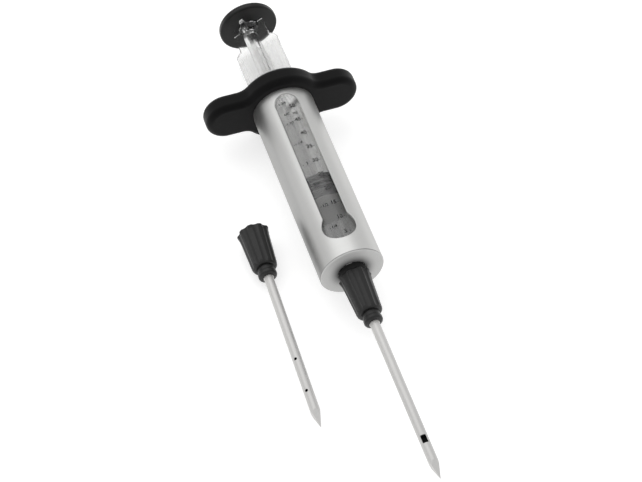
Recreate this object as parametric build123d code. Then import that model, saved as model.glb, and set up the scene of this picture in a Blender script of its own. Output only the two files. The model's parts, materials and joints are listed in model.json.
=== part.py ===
from build123d import *
import math
import os

# Meat injector with one spare needle, modelled as it lies on a table.
#
# Working frame of the injector, used while each piece is built: the axis of the
# barrel is +Z, counted in mm rearwards (towards the thumb cap) from the front
# face of the steel sleeve, so the needle is at negative Z. X is across the
# finger grip and -Y is up. to_row() then lays the finished piece down.

# ------------------------------------------------------------ driving dimensions
SLEEVE_R = 16.0            # outside radius of the steel sleeve
SLEEVE_WALL = 1.0
SLEEVE_END = 112.3         # rear end of the sleeve, inside the grip
SLEEVE_EDGE_R = 0.8        # rounded front edge
NOSE_HOLE_R = 7.3          # hole in the sleeve's front face

WINDOW_ROLL = -3.4         # degrees that the window sits round from square
WINDOW_R = 6.1             # half width of the slot
WINDOW_TOP = 97.6          # centre of the rounded rear end of the slot
KEY_R = 8.2                # radius of the wide front end of the slot
KEY_AT = 17.8              # centre of the wide end
KEY_BLEND = 2.0
WINDOW_BREAK = 0.25        # edge broken all round the slot

BARREL_R = 14.7            # clear inner barrel, outside
BORE_R = 13.2              # clear inner barrel, bore
BARREL_FRONT = 1.1
BARREL_FLOOR = 4.2
BARREL_FLANGE_R = 15.9
BARREL_FLANGE_T = 1.5
NOSE_BASE_R = 7.0
NOSE_THREAD_R = 5.5        # major radius of the needle thread, and the shank that the collar sits on
NOSE_CORE_R = 4.85         # root of the needle thread
NOSE_TIP = -11.8
NOSE_BORE_R = 2.2
THREAD_LEAD = 2.0          # mm per turn, needle thread

GRIP_FRONT = 106.8
GRIP_REAR = 117.1
GRIP_EDGE_R = 3.0
GRIP_HUMP_R = 21.5         # round middle of the grip
GRIP_WING_R = 11.3         # rounded ends of the wings
GRIP_HALF_SPAN = 40.2
GRIP_WAIST_BLEND = 7.0

CORE_R = 19.0              # hard ring inside the soft grip
CORE_FRONT = 108.6
CORE_REAR = 115.9
CORE_TONGUE_HALF = 31.0
CORE_TONGUE_H = 11.0
CORE_TONGUE_T = 4.0

CAP_R = 17.0               # screwed retaining cap behind the barrel
CAP_FRONT = 114.5
CAP_REAR = 117.1
CAP_HOLE_R = 12.75
GASKET_T = 0.7

ROD_R = 12.4               # half width of the cross shaped rod
ROD_T = 2.2                # thickness of each vane
ROD_ROLL = -30.0           # degrees that the cross sits round from square
ROD_SHOULDER = 154.4
ROD_CHAMFER = 2.6
ROD_NECK_R = 9.0
DISC_FRONT = 166.1
DISC_T = 4.0
DISC_R = 15.5

PISTON_FRONT = 38.3
PISTON_REAR = 51.7
PISTON_R = 12.9
O_RING_AT = (43.6, 46.2, 48.8)
O_RING_D = 1.8

COLLAR_R = 7.0             # nut that holds the sleeve on the barrel's nose
COLLAR_REAR = -0.05
COLLAR_FRONT = -3.2

HUB_REAR = -3.6
HUB_SHOULDER = -26.0
HUB_TIP = -31.4
HUB_R_WIDE = 8.1           # flared rim of the ridges
HUB_R_NARROW = 6.4
HUB_PROFILE = ((7.62, -5.4), (7.3, -8.0), (7.05, -12.0), (6.85, -16.0), (6.6, -20.0))
HUB_RIDGES = 9
HUB_ROLL = -35.0           # degrees that the fitted hub is turned round from square
SPARE_ROLL = -24.0         # and the spare hub
FLUTE_R = 3.4
FLUTE_DEPTH = 0.55
HUB_NECK_R = 4.3
HUB_RING_R = 4.65
SOCKET_R = 5.6
SOCKET_DEPTH = 9.8
SOCKET_THREAD_L = 8.3      # threaded length; the washer sits in a slightly smaller seat behind it

TUBE_R = 2.35
TUBE_BORE_R = 1.85
TUBE_ROOT_R = 2.6          # bonded root, inside the hub and a bead just in front of it
TUBE_ROOT_END = -31.9
TUBE_TIP = -118.6
POINT_L = 9.5
PORT_AT = -98.1            # rectangular port of the fitted needle
PORT_L = 4.2
PORT_W = 2.6
SPARE_HOLES = (-98.8, -80.8)   # round ports of the spare needle
SPARE_HOLE_R = 0.75

# The injector rests on the hump of its grip and the front edge of its sleeve.
# Both edges are rounded, so the nose-down tilt comes from the two edge arcs.
TILT = 2.890
SPARE_X = -35.96           # where the wide end of the spare hub lies, from the injector's axis
SPARE_Y = 47.93            # and how far behind the sleeve's front face
SPARE_HEADING = -1.69      # degrees from parallel with the injector

# ------------------------------------------------------------------- small tools


def rod_z(r, z0, z1):
    """Solid cylinder on the working axis from z0 to z1."""
    return Pos(0, 0, (z0 + z1) / 2) * Cylinder(r, abs(z1 - z0))


def ring_z(r_out, r_in, z0, z1):
    return rod_z(r_out, z0, z1) - rod_z(r_in, min(z0, z1) - 1, max(z0, z1) + 1)


def turned(points):
    """Solid of revolution about Z from (radius, z) points."""
    face = make_face(Polyline(*[(r, 0, z) for r, z in points], close=True))
    return revolve(face, Axis.Z, 360)


def circle_edges(shape, r, z, tol=0.02):
    out = []
    for e in shape.edges().filter_by(GeomType.CIRCLE):
        c = e.arc_center
        if abs(e.radius - r) < tol and abs(c.Z - z) < tol and abs(c.X) < tol and abs(c.Y) < tol:
            out.append(e)
    return out


# ------------------------------------------------------------------ steel sleeve
sleeve = rod_z(SLEEVE_R, 0, SLEEVE_END) - rod_z(SLEEVE_R - SLEEVE_WALL, SLEEVE_WALL, SLEEVE_END + 1)
sleeve -= rod_z(NOSE_HOLE_R, -1, 3)
sleeve = fillet(circle_edges(sleeve, SLEEVE_R, 0), SLEEVE_EDGE_R)
sleeve = fillet(circle_edges(sleeve, SLEEVE_R - SLEEVE_WALL, SLEEVE_WALL), 0.7)

slot = Pos(0, (WINDOW_TOP + KEY_AT) / 2) * Rectangle(2 * WINDOW_R, WINDOW_TOP - KEY_AT)
slot += Pos(0, WINDOW_TOP) * Circle(WINDOW_R)
slot += Pos(0, KEY_AT) * Circle(KEY_R)
neck_y = KEY_AT + math.sqrt(KEY_R**2 - WINDOW_R**2)
slot = fillet([v for v in slot.vertices() if abs(v.Y - neck_y) < 0.05], KEY_BLEND)
# the sketch's Y runs along the barrel, and it is cut through the wall that faces up
window_plane = Plane(origin=(0, 0, 0), x_dir=(1, 0, 0), z_dir=(0, -1, 0))
window_cut = extrude(window_plane * slot, 30)
window_cut -= extrude(window_plane * slot, 5)
window_cut = Rot(0, 0, WINDOW_ROLL) * window_cut
outer_sleeve = sleeve - window_cut


def on_outside(e):
    """True for an edge that lies on the sleeve's outer surface, round the slot."""
    pts = [e.position_at(f) for f in (0.0, 0.25, 0.5, 0.75, 1.0)]
    return all(abs(math.hypot(p.X, p.Y) - SLEEVE_R) < 0.02 and p.Y < -10 and 5 < p.Z < 106 for p in pts)


outer_sleeve = chamfer([e for e in outer_sleeve.edges() if on_outside(e)], WINDOW_BREAK)

# ----------------------------------------------------------- clear inner barrel
inner_barrel = turned(
    [
        (NOSE_BORE_R, NOSE_TIP),
        (NOSE_CORE_R - 0.6, NOSE_TIP),
        (NOSE_CORE_R, NOSE_TIP + 0.6),
        (NOSE_CORE_R, COLLAR_FRONT - 0.1),
        (NOSE_THREAD_R, COLLAR_FRONT - 0.1),
        (NOSE_THREAD_R, COLLAR_REAR),
        (NOSE_BASE_R, COLLAR_REAR),
        (NOSE_BASE_R, BARREL_FRONT),
        (BARREL_R - 0.8, BARREL_FRONT),
        (BARREL_R, BARREL_FRONT + 0.8),
        (BARREL_R, SLEEVE_END),
        (BARREL_FLANGE_R, SLEEVE_END),
        (BARREL_FLANGE_R, SLEEVE_END + BARREL_FLANGE_T),
        (BORE_R, SLEEVE_END + BARREL_FLANGE_T),
        (BORE_R, BARREL_FLOOR),
        (NOSE_BORE_R, BARREL_FLOOR),
    ]
)


nose_collar = ring_z(COLLAR_R, NOSE_THREAD_R, COLLAR_REAR, COLLAR_FRONT)
nose_collar = chamfer(circle_edges(nose_collar, COLLAR_R, COLLAR_FRONT), 0.4)


def barrel_tick(z, a0, a1, width):
    """One printed line on the outside of the clear barrel, from angle a0 to a1 (degrees from up)."""
    band = ring_z(BARREL_R + 0.07, BARREL_R + 0.01, z - width / 2, z + width / 2)
    lo, hi = math.radians(a0), math.radians(a1)
    r = 20
    wedge = make_face(
        Polyline(
            (0, 0),
            (r * math.sin(lo), -r * math.cos(lo)),
            (r * math.sin(hi), -r * math.cos(hi)),
            close=True,
        )
    )
    return band & Pos(0, 0, z - width) * extrude(wedge, 2 * width)


ML_STEP = 5000.0 / (math.pi * BORE_R**2)           # travel for 5 ml
OZ_STEP = 29573.5 / 4 / (math.pi * BORE_R**2)      # travel for a quarter fluid ounce
ml_ticks = []
for k in range(1, 11):
    z = BARREL_FLOOR + k * ML_STEP
    ml_ticks.append(barrel_tick(z, WINDOW_ROLL + 13.0, WINDOW_ROLL + 18.5, 0.35))
oz_ticks = []
for k in range(1, 8):
    z = BARREL_FLOOR + k * OZ_STEP
    oz_ticks.append(barrel_tick(z, WINDOW_ROLL - 18.5, WINDOW_ROLL - 13.0, 0.35))

# ------------------------------------------------------------------- finger grip
plan = Rectangle(2 * (GRIP_HALF_SPAN - GRIP_WING_R), 2 * GRIP_WING_R)
for side in (-1, 1):
    plan += Pos(side * (GRIP_HALF_SPAN - GRIP_WING_R), 0) * Circle(GRIP_WING_R)
plan += Circle(GRIP_HUMP_R)
waist_x = math.sqrt(GRIP_HUMP_R**2 - GRIP_WING_R**2)
plan = fillet(
    [v for v in plan.vertices() if abs(abs(v.X) - waist_x) < 0.05 and abs(abs(v.Y) - GRIP_WING_R) < 0.05],
    GRIP_WAIST_BLEND,
)
grip_body = extrude(Pos(0, 0, GRIP_FRONT) * plan, GRIP_REAR - GRIP_FRONT)
rim = grip_body.edges().group_by(Axis.Z)
grip_body = fillet(rim[0] + rim[-1], GRIP_EDGE_R)

core = rod_z(CORE_R, CORE_FRONT, CORE_REAR)
tongue_mid = (CORE_FRONT + CORE_REAR) / 2
tongue = Pos(0, 0, tongue_mid) * Box(2 * CORE_TONGUE_HALF, CORE_TONGUE_H, CORE_TONGUE_T)
tongue = fillet(tongue.edges().filter_by(Axis.Z), 4.0)
core += tongue
core_outside = core
core -= rod_z(SLEEVE_R, GRIP_FRONT - 1, SLEEVE_END)
core -= rod_z(BARREL_FLANGE_R, SLEEVE_END - 0.01, CAP_FRONT - GASKET_T)
core -= rod_z(CAP_R + 0.08, CAP_FRONT - GASKET_T, GRIP_REAR + 1)
grip_core = core

grip_cover = grip_body - core_outside
grip_cover -= rod_z(SLEEVE_R, GRIP_FRONT - 1, CORE_FRONT + 1)
grip_cover -= rod_z(CAP_R + 0.3, CORE_REAR - 1, GRIP_REAR + 1)

# -------------------------------------------------------- screwed cap and gasket
rear_cap = ring_z(CAP_R, CAP_HOLE_R, CAP_FRONT, CAP_REAR)
rear_cap = chamfer(circle_edges(rear_cap, CAP_HOLE_R, CAP_REAR), 0.5)
rear_cap = chamfer(circle_edges(rear_cap, CAP_R, CAP_REAR), 0.4)
for k in range(4):      # finger notches for turning it
    a = math.radians(45 + 90 * k)
    notch = Pos(14.8 * math.cos(a), 14.8 * math.sin(a), CAP_REAR) * Rot(0, 0, 45 + 90 * k) * Box(2.6, 4.0, 2.4)
    rear_cap -= notch
cap_gasket = ring_z(15.6, 13.3, CAP_FRONT - GASKET_T, CAP_FRONT)

# ------------------------------------------------------------------- plunger rod


def vane(roll):
    pts = [
        (-ROD_R, PISTON_REAR),
        (ROD_R, PISTON_REAR),
        (ROD_R, ROD_SHOULDER - ROD_CHAMFER),
        (ROD_R - ROD_CHAMFER, ROD_SHOULDER),
        (ROD_NECK_R, ROD_SHOULDER),
        (ROD_NECK_R, DISC_FRONT),
        (-ROD_NECK_R, DISC_FRONT),
        (-ROD_NECK_R, ROD_SHOULDER),
        (-ROD_R + ROD_CHAMFER, ROD_SHOULDER),
        (-ROD_R, ROD_SHOULDER - ROD_CHAMFER),
    ]
    face = make_face(Polyline(*[(x, 0, z) for x, z in pts], close=True))
    return Rot(0, 0, roll) * extrude(face, ROD_T / 2, both=True, dir=(0, 1, 0))


plunger_rod = vane(ROD_ROLL) + vane(ROD_ROLL + 90)
plunger_rod += rod_z(2.6, PISTON_REAR, DISC_FRONT)                     # round core
plunger_rod += rod_z(4.6, PISTON_REAR, PISTON_REAR + 2.0)              # foot on the piston
plunger_rod += rod_z(3.0, PISTON_FRONT + 6.0, PISTON_REAR)             # swivel stem
plunger_rod += rod_z(4.0, PISTON_FRONT + 3.0, PISTON_FRONT + 6.0)      # snap head
plunger_rod += rod_z(5.5, DISC_FRONT - 1.2, DISC_FRONT)                # collar under the cap
plunger_rod += rod_z(4.0, DISC_FRONT, DISC_FRONT + 2.4)                # spigot in the cap

# --------------------------------------------------------------------- thumb cap
thumb_cap = rod_z(DISC_R, DISC_FRONT, DISC_FRONT + DISC_T)
thumb_cap = fillet(circle_edges(thumb_cap, DISC_R, DISC_FRONT + DISC_T), 1.6)
thumb_cap = fillet(circle_edges(thumb_cap, DISC_R, DISC_FRONT), 1.0)
thumb_cap -= rod_z(4.0, DISC_FRONT - 1, DISC_FRONT + 2.4)

# ------------------------------------------------------------ piston and O-rings
piston_head = rod_z(PISTON_R, PISTON_FRONT, PISTON_REAR - 0.3)
piston_head = chamfer(circle_edges(piston_head, PISTON_R, PISTON_FRONT), 1.0)
piston_head -= rod_z(3.06, PISTON_FRONT + 5.0, PISTON_REAR + 1)
piston_head -= rod_z(4.08, PISTON_FRONT + 2.9, PISTON_FRONT + 6.1)
GROOVE_R = BORE_R - O_RING_D
for z in O_RING_AT:
    piston_head -= ring_z(PISTON_R + 1, GROOVE_R, z - 1.0, z + 1.0)


def o_ring(z):
    """Seal in its groove: seated on the groove floor, just clear of the bore."""
    rc = O_RING_D / 2 - 0.02
    return Pos(0, 0, z) * Torus(GROOVE_R + rc, rc)


o_rings = [o_ring(z) for z in O_RING_AT]

# ------------------------------------------------------------------------ needle


def make_hub():
    hub = turned(
        [
            (0, HUB_REAR),
            (HUB_R_WIDE - 0.3, HUB_REAR),
            (HUB_R_WIDE, HUB_REAR - 0.3),
            *HUB_PROFILE,
            (HUB_R_NARROW, HUB_SHOULDER + 1.9),
            (HUB_R_NARROW - 0.25, HUB_SHOULDER + 0.9),
            (HUB_R_NARROW - 0.95, HUB_SHOULDER + 0.2),
            (HUB_R_NARROW - 1.6, HUB_SHOULDER),
            (HUB_NECK_R, HUB_SHOULDER),
            (HUB_NECK_R, HUB_TIP + 3.1),
            (HUB_RING_R - 0.35, HUB_TIP + 3.0),
            (HUB_RING_R, HUB_TIP + 2.5),
            (HUB_RING_R, HUB_TIP + 1.1),
            (HUB_RING_R - 0.35, HUB_TIP + 0.4),
            (HUB_RING_R - 1.2, HUB_TIP),
            (0, HUB_TIP),
        ]
    )
    # concave flutes between the ridges, following the taper
    taper = math.degrees(math.atan2(HUB_PROFILE[0][0] - HUB_R_NARROW, HUB_PROFILE[0][1] - HUB_SHOULDER))
    mid = (HUB_PROFILE[0][1] + HUB_SHOULDER) / 2
    mid_r = (HUB_PROFILE[0][0] + HUB_R_NARROW) / 2
    for k in range(HUB_RIDGES):
        cutter = Pos(mid_r + FLUTE_R - FLUTE_DEPTH, 0, mid) * Rot(0, taper, 0) * Cylinder(FLUTE_R, 60)
        cutter = Rot(0, 0, (k + 0.5) * 360 / HUB_RIDGES) * cutter
        cutter &= Pos(0, 0, (HUB_REAR + HUB_SHOULDER) / 2 + 2) * Box(40, 40, HUB_REAR - HUB_SHOULDER + 4)
        hub -= cutter
    hub -= rod_z(SOCKET_R, HUB_REAR + 1, HUB_REAR - SOCKET_THREAD_L)
    hub -= rod_z(SOCKET_R - 0.2, HUB_REAR, HUB_REAR - SOCKET_DEPTH)
    hub -= rod_z(3.4, HUB_REAR, HUB_REAR - SOCKET_DEPTH - 1.0)         # seat of the tube's flange
    hub -= rod_z(TUBE_ROOT_R, HUB_REAR, HUB_TIP - 1)
    return hub


def make_tube():
    flange_z = HUB_REAR - SOCKET_DEPTH
    tube = rod_z(TUBE_R, flange_z, TUBE_TIP) + rod_z(3.4, flange_z, flange_z - 1.0)
    tube += rod_z(TUBE_ROOT_R, flange_z, TUBE_ROOT_END)
    # four flats ground to a point
    half = math.degrees(math.atan2(TUBE_R, POINT_L))
    for k in range(4):
        wedge = Pos(0, 0, TUBE_TIP) * Rot(0, 0, 90 * k) * Rot(0, half, 0) * Pos(10, 0, 0) * Box(20, 20, 40)
        tube -= wedge
    tube -= rod_z(TUBE_BORE_R, flange_z + 1, TUBE_TIP + POINT_L + 4.0)
    return tube


def make_washer():
    return ring_z(5.3, 2.4, HUB_REAR - SOCKET_DEPTH + 0.05, HUB_REAR - SOCKET_DEPTH + 1.45)


needle_hub = Rot(0, 0, HUB_ROLL) * make_hub()
needle_tube = make_tube()
port = Pos(0, -TUBE_R, PORT_AT) * Box(PORT_W, 3.0, PORT_L)
needle_tube -= Rot(0, 0, -6) * fillet(port.edges().filter_by(Axis.Y), 0.35)
needle_washer = make_washer()

spare_hub = Rot(0, 0, SPARE_ROLL) * make_hub()
spare_tube = make_tube()
for z in SPARE_HOLES:
    spare_tube -= Rot(0, 0, -27.0) * (Pos(0, -TUBE_R, z) * Rot(90, 0, 0) * Cylinder(SPARE_HOLE_R, 3.0))
spare_washer = make_washer()

# ----------------------------------------------------- laying everything down
# working +Z -> +Y (rearwards), working -Y -> +Z (up), then the nose-down tilt
t = math.radians(TILT)
LIFT = (SLEEVE_R - SLEEVE_EDGE_R) * math.cos(t) + SLEEVE_EDGE_R - SLEEVE_EDGE_R * math.sin(t)
axis_to_row = Pos(0, 0, LIFT) * Rot(TILT - 90, 0, 0)

# the spare rests on the wide rim of its hub and on the heel of its point
rim_z, heel_z = HUB_REAR - 0.3, TUBE_TIP + POINT_L
spare_slope = math.atan2(HUB_R_WIDE - TUBE_R, rim_z - heel_z)
SPARE_LIFT = HUB_R_WIDE * math.cos(spare_slope) - rim_z * math.sin(spare_slope)
spare_to_row = Pos(SPARE_X, SPARE_Y, SPARE_LIFT) * Rot(0, 0, SPARE_HEADING) * Rot(math.degrees(spare_slope) - 90, 0, 0)

nodes = {
    "outer_sleeve": (outer_sleeve, 0),
    "inner_barrel": (inner_barrel, 0),
    "nose_collar": (nose_collar, 0),
    "scale_marks_ml": (Compound(children=[s for t in ml_ticks for s in t.solids()]), 0),
    "scale_marks_oz": (Compound(children=[s for t in oz_ticks for s in t.solids()]), 0),
    "grip_core": (grip_core, 0),
    "grip_cover": (grip_cover, 0),
    "rear_cap": (rear_cap, 0),
    "cap_gasket": (cap_gasket, 0),
    "plunger_rod": (plunger_rod, 0),
    "thumb_cap": (thumb_cap, 0),
    "piston_head": (piston_head, 0),
    "piston_o_ring_front": (o_rings[0], 0),
    "piston_o_ring_middle": (o_rings[1], 0),
    "piston_o_ring_rear": (o_rings[2], 0),
    "needle_hub": (needle_hub, 0),
    "needle_tube": (needle_tube, 0),
    "needle_washer": (needle_washer, 0),
    "spare_hub": (spare_hub, 1),
    "spare_tube": (spare_tube, 1),
    "spare_washer": (spare_washer, 1),
}

placed = {}
for name, (shape, spare) in nodes.items():
    placed[name] = (spare_to_row if spare else axis_to_row) * shape

# origin: middle of the bounding box, on the table
boxes = [s.bounding_box() for s in placed.values()]
lo = [min(getattr(b.min, c) for b in boxes) for c in "XYZ"]
hi = [max(getattr(b.max, c) for b in boxes) for c in "XYZ"]
centre = Pos(-(lo[0] + hi[0]) / 2, -(lo[1] + hi[1]) / 2, -lo[2])
print("box before centring", [round(v, 4) for v in lo], [round(v, 4) for v in hi])
print("tilt", TILT, "lift", LIFT, "spare slope", math.degrees(spare_slope), "spare lift", SPARE_LIFT)
for name, b in zip(placed, boxes):
    print(name, "lowest", round(b.min.Z, 4))

os.makedirs("parts", exist_ok=True)
for name, shape in placed.items():
    shape = centre * shape
    export_step(shape, os.path.join("parts", name + ".step"))
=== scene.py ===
import json
import math

import bpy
import bmesh
import numpy as np
from mathutils import Matrix, Vector


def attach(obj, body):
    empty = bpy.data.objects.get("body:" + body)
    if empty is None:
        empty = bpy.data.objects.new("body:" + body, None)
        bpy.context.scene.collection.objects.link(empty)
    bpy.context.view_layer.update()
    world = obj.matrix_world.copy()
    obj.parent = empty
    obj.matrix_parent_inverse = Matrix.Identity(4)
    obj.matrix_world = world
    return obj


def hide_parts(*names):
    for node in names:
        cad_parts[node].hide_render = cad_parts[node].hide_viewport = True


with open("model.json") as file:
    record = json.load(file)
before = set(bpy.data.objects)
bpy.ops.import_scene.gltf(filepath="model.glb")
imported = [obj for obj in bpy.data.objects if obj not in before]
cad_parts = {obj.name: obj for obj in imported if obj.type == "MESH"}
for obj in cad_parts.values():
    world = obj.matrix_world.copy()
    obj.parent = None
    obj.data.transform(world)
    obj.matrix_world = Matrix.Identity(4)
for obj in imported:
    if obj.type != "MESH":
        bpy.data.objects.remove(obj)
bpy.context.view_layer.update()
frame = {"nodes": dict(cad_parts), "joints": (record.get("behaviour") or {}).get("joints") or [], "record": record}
NODES = frame["nodes"]
SCENE = bpy.context.scene

# ---------------------------------------------------------------- placing things
# The injector's own frame, as in the CAD: x across the grip, u up through the
# window, a along the barrel, counted rearwards in mm from the sleeve's front face.
JOINTS = {j["name"]: j for j in frame["joints"]}
AXIS = Vector(JOINTS["plunger_slide"]["axis"]).normalized()
UP = Vector((1, 0, 0)).cross(AXIS).normalized()
TILT = math.atan2(AXIS.z, AXIS.y)
ON_AXIS = Vector(JOINTS["plunger_spin"]["pos_m"])
FRONT = ON_AXIS - AXIS * 0.060          # middle of the sleeve's front face


def place(x, u, a):
    """A point given in mm in the injector's frame, in metres in the row frame."""
    return FRONT + Vector((1, 0, 0)) * (x / 1000) + UP * (u / 1000) + AXIS * (a / 1000)


# ------------------------------------------------------------------ node helpers
class Tree:
    """A small writer of node trees."""

    def __init__(self, tree):
        self.t = tree
        self.n = tree.nodes
        self.l = tree.links

    def node(self, kind, **props):
        n = self.n.new(kind)
        for k, v in props.items():
            if k.startswith("in_"):
                key = k[3:]
                key = int(key) if key.isdigit() else key.replace("_", " ")
                n.inputs[key].default_value = v
            else:
                setattr(n, k, v)
        return n

    def link(self, a, b):
        self.l.new(a, b)

    def math(self, op, a, b=None, clamp=False):
        n = self.n.new("ShaderNodeMath")
        n.operation = op
        n.use_clamp = clamp
        for i, v in enumerate((a, b)):
            if v is None:
                continue
            if isinstance(v, (int, float)):
                n.inputs[i].default_value = v
            else:
                self.l.new(v, n.inputs[i])
        return n.outputs[0]

    def ramp(self, fac, stops, interpolation="LINEAR"):
        n = self.n.new("ShaderNodeValToRGB")
        n.color_ramp.interpolation = interpolation
        el = n.color_ramp.elements
        while len(el) > len(stops):
            el.remove(el[-1])
        while len(el) < len(stops):
            el.new(1.0)
        for e, (pos, col) in zip(el, stops):
            e.position = pos
            e.color = (col, col, col, 1) if isinstance(col, (int, float)) else (*col, 1)
        self.l.new(fac, n.inputs["Fac"])
        return n.outputs["Color"]

    def noise(self, vector, scale, detail=2.0, rough=0.5):
        n = self.n.new("ShaderNodeTexNoise")
        n.inputs["Scale"].default_value = scale
        n.inputs["Detail"].default_value = detail
        n.inputs["Roughness"].default_value = rough
        self.l.new(vector, n.inputs["Vector"])
        return n.outputs["Fac"]

    def axis_coords(self, origin=None, tilt=None, heading=0.0):
        """Object coordinates turned so that Y runs along the tube, in metres."""
        tc = self.n.new("ShaderNodeTexCoord")
        mp = self.n.new("ShaderNodeMapping")
        mp.vector_type = "TEXTURE"
        mp.inputs["Location"].default_value = FRONT if origin is None else origin
        mp.inputs["Rotation"].default_value = (TILT if tilt is None else tilt, 0, heading)
        self.l.new(tc.outputs["Object"], mp.inputs["Vector"])
        return mp.outputs["Vector"]

    def scaled(self, vector, sx, sy, sz):
        mp = self.n.new("ShaderNodeMapping")
        mp.inputs["Scale"].default_value = (sx, sy, sz)
        self.l.new(vector, mp.inputs["Vector"])
        return mp.outputs["Vector"]

    def bump(self, height, strength, distance, normal=None):
        n = self.n.new("ShaderNodeBump")
        n.inputs["Strength"].default_value = strength
        n.inputs["Distance"].default_value = distance
        self.l.new(height, n.inputs["Height"])
        if normal is not None:
            self.l.new(normal, n.inputs["Normal"])
        return n.outputs["Normal"]

    def mix(self, fac, a, b):
        n = self.n.new("ShaderNodeMix")
        n.data_type = "RGBA"
        for key, v in ((0, fac), (6, a), (7, b)):
            if isinstance(v, (int, float)):
                n.inputs[key].default_value = v
            elif isinstance(v, tuple):
                n.inputs[key].default_value = (*v, 1)
            else:
                self.l.new(v, n.inputs[key])
        return n.outputs[2]


def material(name):
    m = bpy.data.materials.new(name)
    m.use_nodes = True
    t = Tree(m.node_tree)
    b = m.node_tree.nodes["Principled BSDF"]
    return m, t, b


def rad_vector(t, rad):
    n = t.node("ShaderNodeCombineXYZ")
    t.link(rad, n.inputs[0])
    return n.outputs[0]


def brushed(name, colour, rough, origin=None, tilt=None, heading=0.0, along=False,
            bore_r=None, bore_from=0.0007, bore_colour=(0.93, 0.93, 0.925), bore_metal=0.0, end_disc=False):
    """Satin stainless steel: fine grain round the tube or along it, soft clouding,
    a few hairline scratches. Inside bore_r, behind bore_from, the wall has its own
    colour and is duller: in the sleeve a pale matt wall, painted light for the light
    bouncing inside, and in the needles a near-black bore, painted shade. end_disc gives
    the blasted front disc, a thin painted shade line at the rim's edge, a painted soft
    shadow round the collar and painted shade on the lower flanks, deeper on the left."""
    m, t, b = material(name)
    v = t.axis_coords(origin, tilt, heading)
    if along:
        grain = t.noise(t.scaled(v, 7000, 70, 7000), 1.0, 3.0, 0.6)
        scratch = t.noise(t.scaled(v, 1500, 12, 1500), 1.0, 1.0, 0.4)
    else:
        grain = t.noise(t.scaled(v, 120, 6500, 120), 1.0, 3.0, 0.6)
        scratch = t.noise(t.scaled(v, 25, 1900, 25), 1.0, 1.0, 0.4)
    cloud = t.noise(v, 55.0, 3.0, 0.55)
    smear = t.noise(t.scaled(v, 45, 14, 45), 1.0, 3.0, 0.5)
    hair = t.ramp(scratch, [(0.0, 0.0), (0.68, 0.0), (0.72, 1.0), (1.0, 1.0)])
    r = t.math("ADD", rough - 0.08, t.math("MULTIPLY", cloud, 0.10))
    r = t.math("ADD", r, t.math("MULTIPLY", grain, 0.06))
    r = t.math("ADD", r, t.math("MULTIPLY", hair, 0.05))
    swing = 0.26 if along else 0.13
    tone = t.math("ADD", 1.0 - swing, t.math("MULTIPLY", t.math("ADD", grain, smear), swing))
    hsv = t.node("ShaderNodeHueSaturation")
    t.link(tone, hsv.inputs["Value"])
    hsv.inputs["Color"].default_value = (*colour, 1)
    col = hsv.outputs["Color"]
    if bore_r is not None:
        sep = t.node("ShaderNodeSeparateXYZ")
        t.link(v, sep.inputs[0])
        rad = t.math("SQRT", t.math("ADD", t.math("MULTIPLY", sep.outputs["X"], sep.outputs["X"]),
                                    t.math("MULTIPLY", sep.outputs["Z"], sep.outputs["Z"])))
        inside = t.math("LESS_THAN", rad, bore_r)
        inside = t.math("MULTIPLY", inside, t.math("GREATER_THAN", sep.outputs["Y"], bore_from))
        col = t.mix(inside, col, bore_colour)
        r = t.math("ADD", r, t.math("MULTIPLY", inside, 0.25))
        metal = t.math("SUBTRACT", 1.0, t.math("MULTIPLY", inside, 1.0 - bore_metal))
        if end_disc:
            ahead = t.math("GREATER_THAN", sep.outputs["Y"], 0.00035)
            front = t.math("SUBTRACT", 1.0, ahead)
            # painted shade: a thin dark ring just behind the face, at the outer edge, stands for the shading of the
            # rim's small rounded edge; the smear noise makes it patchy
            rim_shade_line = t.math("MULTIPLY", ahead, t.math("LESS_THAN", sep.outputs["Y"], 0.0007))
            rim_shade_line = t.math("MULTIPLY", rim_shade_line, t.math("GREATER_THAN", rad, 0.0154))
            scuff_and_shade_patches = t.ramp(smear, [(0.0, 0.35), (0.40, 0.45), (0.60, 1.0), (1.0, 1.0)])
            rim_shade_line = t.math("MULTIPLY", rim_shade_line, scuff_and_shade_patches)
            turned = t.noise(t.scaled(rad_vector(t, rad), 9000, 1, 1), 1.0, 2.0, 0.5)
            dull = t.mix(0.30, (0.62, 0.62, 0.61), turned)
            col = t.mix(front, col, dull)
            # painted shadow: a soft dark ring on the front face round the collar stands for the shadow that falls
            # there
            collar_shadow = t.ramp(t.math("MULTIPLY", rad, 62.5),
                          [(0.0, 1.0), (0.45, 0.95), (0.53, 0.62), (0.64, 0.22), (0.76, 0.0), (1.0, 0.0)], "B_SPLINE")
            collar_shadow = t.math("MULTIPLY", collar_shadow, front)
            col = t.mix(t.math("MULTIPLY", collar_shadow, 0.85), col, (0.05, 0.05, 0.05))
            col = t.mix(t.math("MULTIPLY", rim_shade_line, 0.85), col, (0.12, 0.12, 0.12))
            # painted shade: the lower flanks are darkened towards black, more strongly on the left side, standing for
            # the shade under the tube
            lower_flank_shade = t.ramp(t.math("ADD", 0.5, t.math("MULTIPLY", sep.outputs["Z"], 31.25)),
                         [(0.0, 1.0), (0.74, 1.0), (0.81, 0.45), (0.90, 0.0), (1.0, 0.0)])
            shade_strength = t.math("ADD", 0.14, t.math("MULTIPLY", t.math("LESS_THAN", sep.outputs["X"], 0.0), 0.17))
            lower_flank_shade = t.math("MULTIPLY", t.math("MULTIPLY", lower_flank_shade, shade_strength), ahead)
            col = t.mix(lower_flank_shade, col, (0.0, 0.0, 0.0))
            r = t.math("ADD", r, t.math("MULTIPLY", front, 0.20))
            metal = t.math("SUBTRACT", metal, t.math("MULTIPLY", front, 0.30))
        t.link(metal, b.inputs["Metallic"])
    else:
        b.inputs["Metallic"].default_value = 1.0
    t.link(col, b.inputs["Base Color"])
    t.link(r, b.inputs["Roughness"])
    fine = t.bump(grain, 0.12, 0.00002)
    t.link(t.bump(hair, 0.10, 0.00002, fine), b.inputs["Normal"])
    return m


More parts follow.
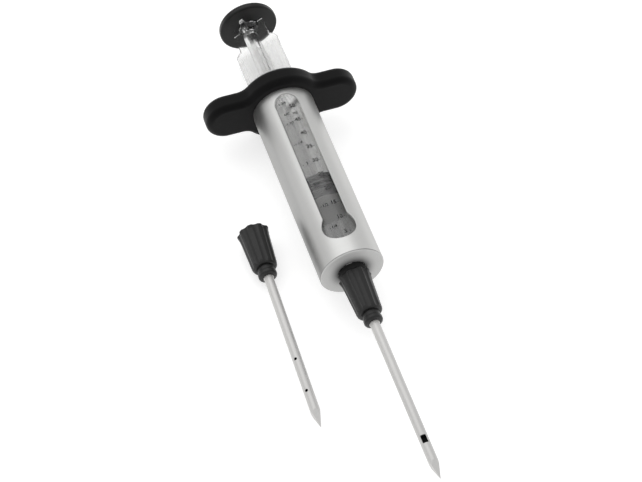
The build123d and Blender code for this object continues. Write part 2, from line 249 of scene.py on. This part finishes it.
def satin_flank(t, v):
    """1 on the part of the barrel that the sleeve hides, 0 on the polished strip behind the window."""
    sep = t.node("ShaderNodeSeparateXYZ")
    t.link(v, sep.inputs[0])
    x, y, z = sep.outputs["X"], sep.outputs["Y"], sep.outputs["Z"]
    rad = t.math("SQRT", t.math("ADD", t.math("MULTIPLY", x, x), t.math("MULTIPLY", z, z)))
    strip = t.math("LESS_THAN", t.math("ABSOLUTE", x), t.math("MULTIPLY", rad, 0.62))
    strip = t.math("MULTIPLY", strip, t.math("GREATER_THAN", z, 0.0))
    along = t.ramp(t.math("MULTIPLY", y, 8.0), [(0.0, 0.0), (0.052, 0.0), (0.060, 0.24), (0.30, 0.24), (0.58, 0.60),
                                                (0.84, 0.60), (0.88, 1.0), (1.0, 1.0)])
    streak = t.noise(t.scaled(v, 420, 10, 420), 1.0, 2.0, 0.5)
    drawn = t.math("ADD", 0.20, t.math("MULTIPLY", streak, 1.60))
    return t.math("MULTIPLY", t.math("MULTIPLY", t.math("SUBTRACT", 1.0, strip), along), drawn)


def drawn_webs(t, v):
    """Milkiness of the cross webs, in streaks along the draw; the neck is clearer."""
    sep = t.node("ShaderNodeSeparateXYZ")
    t.link(v, sep.inputs[0])
    web = t.math("SUBTRACT", 1.0, t.ramp(t.math("MULTIPLY", sep.outputs["Y"], 5.0),
                                         [(0.0, 0.0), (0.745, 0.0), (0.765, 1.0), (1.0, 1.0)]))
    streak = t.noise(t.scaled(v, 700, 18, 700), 1.0, 3.0, 0.6)
    return t.math("MULTIPLY", web, t.math("ADD", 0.35, streak))


def clear_plastic(name, tint, rough, clear, flow_depth=0.0004, spec=0.5, haze=None, amount=0.0, glow=0.0):
    """Moulded transparent plastic: slight haze, flow lines along the moulding, faint scuffs.
    glow stands for the light that the milky part passes on from wall to wall."""
    m, t, b = material(name)
    tc = t.node("ShaderNodeTexCoord")
    flow = t.noise(t.scaled(tc.outputs["Object"], 150, 22, 150), 1.0, 3.0, 0.55)
    fine = t.noise(tc.outputs["Object"], 900.0, 3.0, 0.55)
    scuff = t.noise(t.scaled(tc.outputs["Object"], 500, 60, 500), 1.0, 4.0, 0.7)
    tone = t.math("ADD", 0.96, t.math("MULTIPLY", flow, 0.07))
    hsv = t.node("ShaderNodeHueSaturation")
    hsv.inputs["Color"].default_value = (*tint, 1)
    t.link(tone, hsv.inputs["Value"])
    t.link(hsv.outputs["Color"], b.inputs["Base Color"])
    b.inputs["IOR"].default_value = 1.49
    b.inputs["Specular IOR Level"].default_value = spec
    if haze is None:
        b.inputs["Transmission Weight"].default_value = clear
    else:
        milky = haze(t, t.axis_coords())
        open_part = t.math("SUBTRACT", clear, t.math("MULTIPLY", milky, amount))
        t.link(t.math("MAXIMUM", open_part, 0.1), b.inputs["Transmission Weight"])
        if glow:
            b.inputs["Emission Color"].default_value = (1, 1, 1, 1)
            t.link(t.math("MULTIPLY", t.math("MULTIPLY", milky, milky), glow), b.inputs["Emission Strength"])
    scuff_and_shade_patches = t.ramp(scuff, [(0.0, 0.0), (0.55, 0.0), (0.75, 1.0), (1.0, 1.0)])
    r = t.math("ADD", rough, t.math("MULTIPLY", fine, 0.05))
    r = t.math("ADD", r, t.math("MULTIPLY", scuff_and_shade_patches, 0.10))
    if haze is not None:
        r = t.math("ADD", r, t.math("MULTIPLY", milky, 0.10))
    t.link(r, b.inputs["Roughness"])
    t.link(t.bump(flow, 0.25, flow_depth), b.inputs["Normal"])
    return m


def black_plastic(name, base, rough, spec, grain_scale, grain_depth, sheen=0.0, wear=0.0, painted_light_before=None):
    """Moulded black plastic or rubber: spark-eroded grain, tone drift, rubbed spots.
    The last argument marks where along the axis the front face ends; that face is painted pale grey, as painted light
    standing for light falling on it."""
    m, t, b = material(name)
    tc = t.node("ShaderNodeTexCoord")
    fine = t.noise(tc.outputs["Object"], grain_scale, 3.0, 0.6)
    blotch = t.noise(tc.outputs["Object"], 90.0, 4.0, 0.6)
    rub = t.noise(tc.outputs["Object"], 320.0, 4.0, 0.7)
    rubbed = t.ramp(rub, [(0.0, 0.0), (0.56, 0.0), (0.72, 1.0), (1.0, 1.0)])
    tone = t.math("ADD", 0.80, t.math("MULTIPLY", blotch, 0.4))
    tone = t.math("ADD", tone, t.math("MULTIPLY", rubbed, wear))
    hsv = t.node("ShaderNodeHueSaturation")
    hsv.inputs["Color"].default_value = (*base, 1)
    t.link(tone, hsv.inputs["Value"])
    colour = hsv.outputs["Color"]
    # painted light: the front face ahead of this point is painted pale grey, standing for light falling on it
    if painted_light_before is not None:
        sep = t.node("ShaderNodeSeparateXYZ")
        t.link(t.axis_coords(), sep.inputs[0])
        colour = t.mix(t.math("LESS_THAN", sep.outputs["Y"], painted_light_before), colour, (0.50, 0.50, 0.49))
    t.link(colour, b.inputs["Base Color"])
    r = t.math("ADD", rough - 0.07, t.math("MULTIPLY", blotch, 0.14))
    t.link(t.math("SUBTRACT", r, t.math("MULTIPLY", rubbed, 0.05)), b.inputs["Roughness"])
    b.inputs["Specular IOR Level"].default_value = spec
    if sheen:
        b.inputs["Sheen Weight"].default_value = sheen
        b.inputs["Sheen Roughness"].default_value = 0.45
    t.link(t.bump(fine, 0.45, grain_depth), b.inputs["Normal"])
    return m


# The spare needle's own axis, from its socket mount: the mount sits 7.75 mm ahead
# of where the barrel's front face would be.
SOCKET = next(m for m in frame["record"]["mounts"] if m["name"] == "spare_needle_socket")
SPARE_AXIS = Vector(SOCKET["axis"]).normalized()
SPARE_X = SPARE_AXIS.cross(Vector((0, 0, 1))).normalized()
SPARE_UP = SPARE_X.cross(SPARE_AXIS).normalized()
SPARE_FRONT = Vector(SOCKET["pos_m"]) + SPARE_AXIS * 0.00775
SPARE_TILT = math.asin(SPARE_AXIS.z)
SPARE_HEADING = math.atan2(-SPARE_AXIS.x, SPARE_AXIS.y)


def place_spare(x, u, a):
    return SPARE_FRONT + SPARE_X * (x / 1000) + SPARE_UP * (u / 1000) + SPARE_AXIS * (a / 1000)


# painted light: the sleeve's inside wall takes the default bore colour, a matt near-white paler than its steel,
# standing for the light that bounces round inside the sleeve
STEEL = brushed("sleeve_stainless", (0.60, 0.60, 0.59), 0.44, bore_r=0.0152, end_disc=True)
# painted shade: inside the needles' bore the wall is painted near-black, standing for the shade in the narrow tube
NEEDLE = brushed("needle_stainless", (0.62, 0.615, 0.605), 0.56, along=True,
                 bore_r=0.002, bore_from=-0.1055, bore_colour=(0.02, 0.02, 0.02))
SPARE_STEEL = brushed("spare_stainless", (0.62, 0.615, 0.605), 0.56, SPARE_FRONT, SPARE_TILT, SPARE_HEADING,
                      along=True, bore_r=0.002, bore_from=-0.1055, bore_colour=(0.02, 0.02, 0.02))
CLEAR = clear_plastic("clear_rod", (0.86, 0.86, 0.855), 0.04, 0.985, haze=drawn_webs, amount=0.30)
CLEAR_BARREL = clear_plastic("clear_barrel", (0.95, 0.95, 0.945), 0.04, 0.995, 0.0002, 0.10, satin_flank, 1.1, 0.33)
SMOKE = black_plastic("grey_piston_plastic", (0.060, 0.060, 0.060), 0.35, 0.20, 1700.0, 0.00001, wear=0.2,
                      painted_light_before=0.03835)
SOFT = black_plastic("soft_black_grip", (0.002, 0.002, 0.0022), 0.52, 0.08, 2400.0, 0.00005, sheen=0.14, wear=0.5)
HARD = black_plastic("hard_black_plastic", (0.006, 0.006, 0.006), 0.48, 0.30, 1800.0, 0.00002, wear=0.3)
GLOSS = black_plastic("semi_gloss_black", (0.004, 0.004, 0.004), 0.32, 0.28, 1500.0, 0.000015, wear=0.3)
HUBS = black_plastic("hub_black_plastic", (0.007, 0.007, 0.007), 0.38, 0.38, 1700.0, 0.00002, wear=0.6)
SEAL = black_plastic("black_seal_rubber", (0.004, 0.004, 0.004), 0.50, 0.15, 2600.0, 0.00002)
SILICONE = black_plastic("grey_silicone", (0.30, 0.31, 0.32), 0.5, 0.4, 2600.0, 0.00002)
INK = black_plastic("black_ink", (0.02, 0.02, 0.02), 0.5, 0.3, 2600.0, 0.00001)

LOOKS = {
    "outer_sleeve": STEEL,
    "inner_barrel": CLEAR_BARREL,
    "nose_collar": HARD,
    "scale_marks_ml": INK,
    "scale_marks_oz": INK,
    "grip_core": HARD,
    "grip_cover": SOFT,
    "rear_cap": HARD,
    "cap_gasket": SILICONE,
    "plunger_rod": CLEAR,
    "thumb_cap": GLOSS,
    "piston_head": SMOKE,
    "piston_o_ring_front": SEAL,
    "piston_o_ring_middle": SEAL,
    "piston_o_ring_rear": SEAL,
    "needle_hub": HUBS,
    "needle_tube": NEEDLE,
    "needle_washer": SILICONE,
    "spare_hub": HUBS,
    "spare_tube": SPARE_STEEL,
    "spare_washer": SILICONE,
}
for name, mat in LOOKS.items():
    mesh = NODES[name].data
    mesh.materials.clear()
    mesh.materials.append(mat)


# ------------------------------------------------------------------ detail pieces
def piece(name, bm, mat, body, smooth=None):
    """Make an object of a bmesh, give it its finish and let it ride on a body."""
    bmesh.ops.recalc_face_normals(bm, faces=bm.faces)
    me = bpy.data.meshes.new(name)
    bm.to_mesh(me)
    bm.free()
    if smooth is not None:
        for p in me.polygons:
            p.use_smooth = True
        me.set_sharp_from_angle(angle=math.radians(smooth))
    me.materials.append(mat)
    ob = bpy.data.objects.new(name, me)
    SCENE.collection.objects.link(ob)
    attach(ob, body)
    return ob


THREAD_LEAD = 2.0


def thread(bm, where, r_root, r_crest, w_root, w_crest, s0, s1, phase):
    """A helical rib between s0 and s1 mm ahead of the sleeve's front face. It turns
    right-handed, and its two ends run out into the wall."""
    steps_per_turn = 40
    turns = (s1 - s0 - w_root) / THREAD_LEAD
    n = int(turns * steps_per_turn)
    run_out = steps_per_turn // 4
    rings = []
    for i in range(n + 1):
        th = 2 * math.pi * i / steps_per_turn
        s = s0 + w_root / 2 + THREAD_LEAD * i / steps_per_turn
        k = min(1.0, (i + 0.5) / run_out, (n - i + 0.5) / run_out)
        rc = r_root + (r_crest - r_root) * k
        ang = th + phase
        c, sn = math.cos(ang), math.sin(ang)
        ring = []
        for r, ds in ((r_root, -w_root / 2), (rc, -w_crest / 2), (rc, w_crest / 2), (r_root, w_root / 2)):
            ring.append(bm.verts.new(where(r * c, r * sn, -(s + ds))))
        rings.append(ring)
    for p, q in zip(rings, rings[1:]):
        for j in range(4):
            bm.faces.new((p[j], p[(j + 1) % 4], q[(j + 1) % 4], q[j]))
    bm.faces.new(rings[0])
    bm.faces.new(reversed(rings[-1]))


# The helix turns by 2*pi per lead, so a rib that starts s0 later keeps step when its
# phase is 2*pi*s0/lead ahead; the socket's rib sits half a turn from the nose's.
def in_step(s0, w_root):
    return 2 * math.pi * (s0 + w_root / 2) / THREAD_LEAD


bm = bmesh.new()
thread(bm, place, 4.82, 5.46, 1.15, 0.45, 3.5, 11.4, in_step(3.5, 1.15))
piece("nose_thread", bm, CLEAR_BARREL, "barrel", 40)

bm = bmesh.new()
thread(bm, place, 5.63, 5.0, 1.15, 0.45, 3.9, 11.7, in_step(3.9, 1.15) + math.pi)
piece("needle_socket_thread", bm, HUBS, "needle", 40)

bm = bmesh.new()
thread(bm, place_spare, 5.63, 5.0, 1.15, 0.45, 3.9, 11.7, in_step(3.9, 1.15) + math.pi)
piece("spare_socket_thread", bm, HUBS, "spare_needle", 40)


def printed(bm, text, size, phi0, a0, r=14.725, thick=0.05):
    """One printed figure, wrapped on the clear barrel: it reads along +X, top to the rear."""
    cu = bpy.data.curves.new("figure", "FONT")
    cu.body = text
    cu.size = size
    cu.align_x = "CENTER"
    cu.align_y = "CENTER"
    cu.resolution_u = 3
    cu.extrude = thick / 2
    cu.offset = size * 0.026
    ob = bpy.data.objects.new("figure", cu)
    SCENE.collection.objects.link(ob)
    bpy.context.view_layer.update()
    me = bpy.data.meshes.new_from_object(ob.evaluated_get(bpy.context.evaluated_depsgraph_get()))
    part = bmesh.new()
    part.from_mesh(me)
    bmesh.ops.remove_doubles(part, verts=part.verts, dist=0.0005)
    for v in part.verts:
        ang = math.radians(phi0) + v.co.x / r
        rad = r + thick / 2 + v.co.z
        v.co = place(rad * math.sin(ang), rad * math.cos(ang), a0 + v.co.y)
    tmp = bpy.data.meshes.new("figure_mesh")
    part.to_mesh(tmp)
    part.free()
    bm.from_mesh(tmp)
    bpy.data.meshes.remove(tmp)
    bpy.data.meshes.remove(me)
    bpy.data.objects.remove(ob)
    bpy.data.curves.remove(cu)


BARREL_FLOOR = 4.2
BORE_R = 13.2
ML_STEP = 5000.0 / (math.pi * BORE_R**2)
OZ_STEP = 29573.5 / 4 / (math.pi * BORE_R**2)


def tick(bm, a, phi0, phi1, width=0.22, r=14.72, thick=0.05):
    """A printed line round the barrel, from angle phi0 to phi1."""
    n = 6
    loops = []
    for i in range(n + 1):
        ang = math.radians(phi0 + (phi1 - phi0) * i / n)
        loops.append([
            bm.verts.new(place(rr * math.sin(ang), rr * math.cos(ang), a + da))
            for rr, da in ((r, -width / 2), (r + thick, -width / 2), (r + thick, width / 2), (r, width / 2))
        ])
    for p, q in zip(loops, loops[1:]):
        for j in range(4):
            bm.faces.new((p[j], p[(j + 1) % 4], q[(j + 1) % 4], q[j]))
    bm.faces.new(loops[0])
    bm.faces.new(reversed(loops[-1]))


bm = bmesh.new()
for k in range(1, 11):
    printed(bm, str(5 * k), 3.1, 4.6, BARREL_FLOOR + k * ML_STEP)
    tick(bm, BARREL_FLOOR + k * ML_STEP, 11.6, 15.0)
    if k < 10:
        tick(bm, BARREL_FLOOR + (k + 0.5) * ML_STEP, 13.2, 15.0, 0.16)
printed(bm, "ml", 2.6, 4.6, 90.9)
ml_scale = piece("scale_print_ml", bm, INK, "barrel")
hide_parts("scale_marks_ml")

bm = bmesh.new()
for k, text in enumerate(("1/4", "1/2", "3/4", "1", "1 1/4", "1 1/2", "1 3/4"), 1):
    printed(bm, text, 3.1 if len(text) == 1 else 2.3 if len(text) == 3 else 1.9, -12.2, BARREL_FLOOR + k * OZ_STEP)
    tick(bm, BARREL_FLOOR + k * OZ_STEP, -22.5, -19.4)
printed(bm, "oz", 2.6, -12.2, 91.6)
oz_scale = piece("scale_print_oz", bm, INK, "barrel")
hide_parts("scale_marks_oz")


# ------------------------------------------------------------------------- stage
def stage_floor():
    bm = bmesh.new()
    bmesh.ops.create_grid(bm, x_segments=2, y_segments=2, size=6.0)
    me = bpy.data.meshes.new("floor")
    bm.to_mesh(me)
    bm.free()
    ob = bpy.data.objects.new("floor", me)
    SCENE.collection.objects.link(ob)
    ob.location.z = -0.0002
    m, t, b = material("pale_floor")
    tc = t.node("ShaderNodeTexCoord")
    paper = t.noise(tc.outputs["Object"], 14.0, 3.0, 0.5)
    hsv = t.node("ShaderNodeHueSaturation")
    hsv.inputs["Color"].default_value = (0.62, 0.62, 0.62, 1)
    t.link(t.math("ADD", 0.985, t.math("MULTIPLY", paper, 0.02)), hsv.inputs["Value"])
    t.link(hsv.outputs["Color"], b.inputs["Base Color"])
    b.inputs["Roughness"].default_value = 0.9
    b.inputs["Specular IOR Level"].default_value = 0.1
    b.inputs["Emission Color"].default_value = (1, 1, 1, 1)
    b.inputs["Emission Strength"].default_value = 0.60
    me.materials.append(m)
    return ob


stage_floor()

world = bpy.data.worlds.new("studio")
SCENE.world = world
world.use_nodes = True
bg = world.node_tree.nodes["Background"]
bg.inputs["Color"].default_value = (1.0, 1.0, 1.0, 1)
bg.inputs["Strength"].default_value = 0.80


def softbox(name, loc, target, size, power):
    light = bpy.data.lights.new(name, "AREA")
    light.shape = "RECTANGLE"
    light.size, light.size_y = size
    light.energy = power
    ob = bpy.data.objects.new(name, light)
    SCENE.collection.objects.link(ob)
    ob.location = loc
    ob.rotation_euler = (Vector(target) - Vector(loc)).to_track_quat("-Z", "Y").to_euler()
    return ob


softbox("key", (-0.25, 0.9, 1.3), (0, 0, 0), (1.8, 1.4), 6.0)

# ------------------------------------------------------------------------ camera
cam_data = bpy.data.cameras.new("camera")
cam_data.sensor_fit = "HORIZONTAL"
cam_data.sensor_width = 36.0
cam_data.lens = 104.12
cam_data.clip_start = 0.01
camera = bpy.data.objects.new("camera", cam_data)
SCENE.collection.objects.link(camera)
right = Vector((0.9480915, -0.3176201, -0.0154922))
up = Vector((0.2546716, 0.7292119, 0.6351318))
back = -Vector((0.1904336, 0.6061084, -0.7722484))
rot = Matrix((right, up, back)).transposed()
camera.matrix_world = Matrix.Translation(FRONT + Vector((-0.1784722, -0.5195146, 0.6907332))) @ rot.to_4x4()
SCENE.camera = camera
SCENE.view_settings.view_transform = "Standard"
